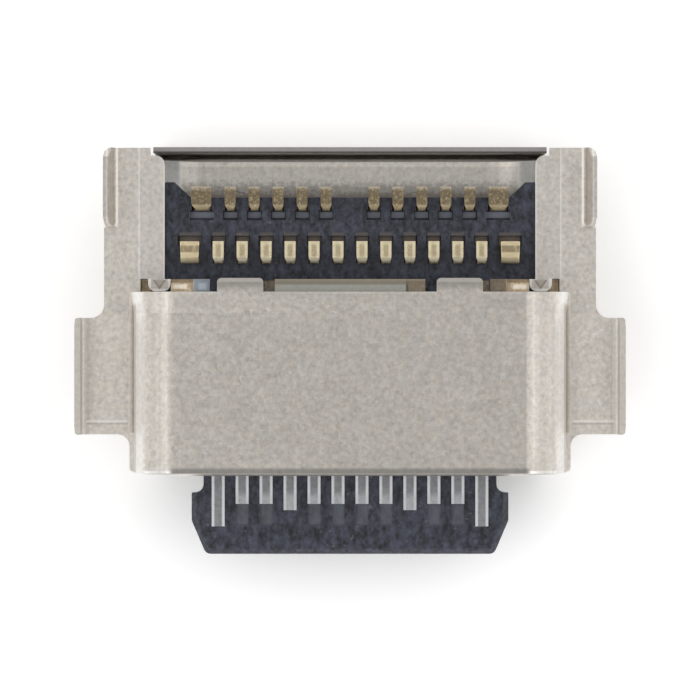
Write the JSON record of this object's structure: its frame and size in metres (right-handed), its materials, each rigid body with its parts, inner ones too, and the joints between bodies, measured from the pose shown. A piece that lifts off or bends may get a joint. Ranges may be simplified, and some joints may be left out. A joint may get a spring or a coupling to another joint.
{
  "type": "reversible charging port connector",
  "caption": "Reversible charging port in a two-part sheet-metal shield, with a flange and legs that solder into a circuit board's cut-out.",
  "frame": {"origin": "middle of the whole port across and along it, on the outer face of the flat top cover that it lies on", "axes": "+X across the port, +Y from the mouth towards the rear, +Z from the top cover up to the side that is soldered"},
  "size_m": [0.0114, 0.0086, 0.0033],
  "materials": {
    "cover_sheet": "satin nickel plating",
    "shell_sheet": "smooth nickel plating",
    "moulding": "moulded, matt black",
    "inner_plate": "plain stamped",
    "contact_plating": "gold plated"
  },
  "bodies": {
    "root": {"top_cover": "cover_sheet", "bottom_cover": "cover_sheet", "inner_shell": "shell_sheet", "tongue_moulding": "moulding", "mid_plate": "inner_plate", "upper_ground_plate": "inner_plate", "lower_ground_plate": "inner_plate", "upper_contact_insert": "moulding", "lower_contact_insert": "moulding", "upper_contact_01": "contact_plating", "lower_contact_01": "contact_plating", "upper_contact_02": "contact_plating", "lower_contact_02": "contact_plating", "upper_contact_03": "contact_plating", "lower_contact_03": "contact_plating", "upper_contact_04": "contact_plating", "lower_contact_04": "contact_plating", "upper_contact_05": "contact_plating", "lower_contact_05": "contact_plating", "upper_contact_06": "contact_plating", "lower_contact_06": "contact_plating", "upper_contact_07": "contact_plating", "lower_contact_07": "contact_plating", "upper_contact_08": "contact_plating", "lower_contact_08": "contact_plating", "upper_contact_09": "contact_plating", "lower_contact_09": "contact_plating", "upper_contact_10": "contact_plating", "lower_contact_10": "contact_plating", "upper_contact_11": "contact_plating", "lower_contact_11": "contact_plating", "upper_contact_12": "contact_plating", "lower_contact_12": "contact_plating"}
  },
  "joints": []
}
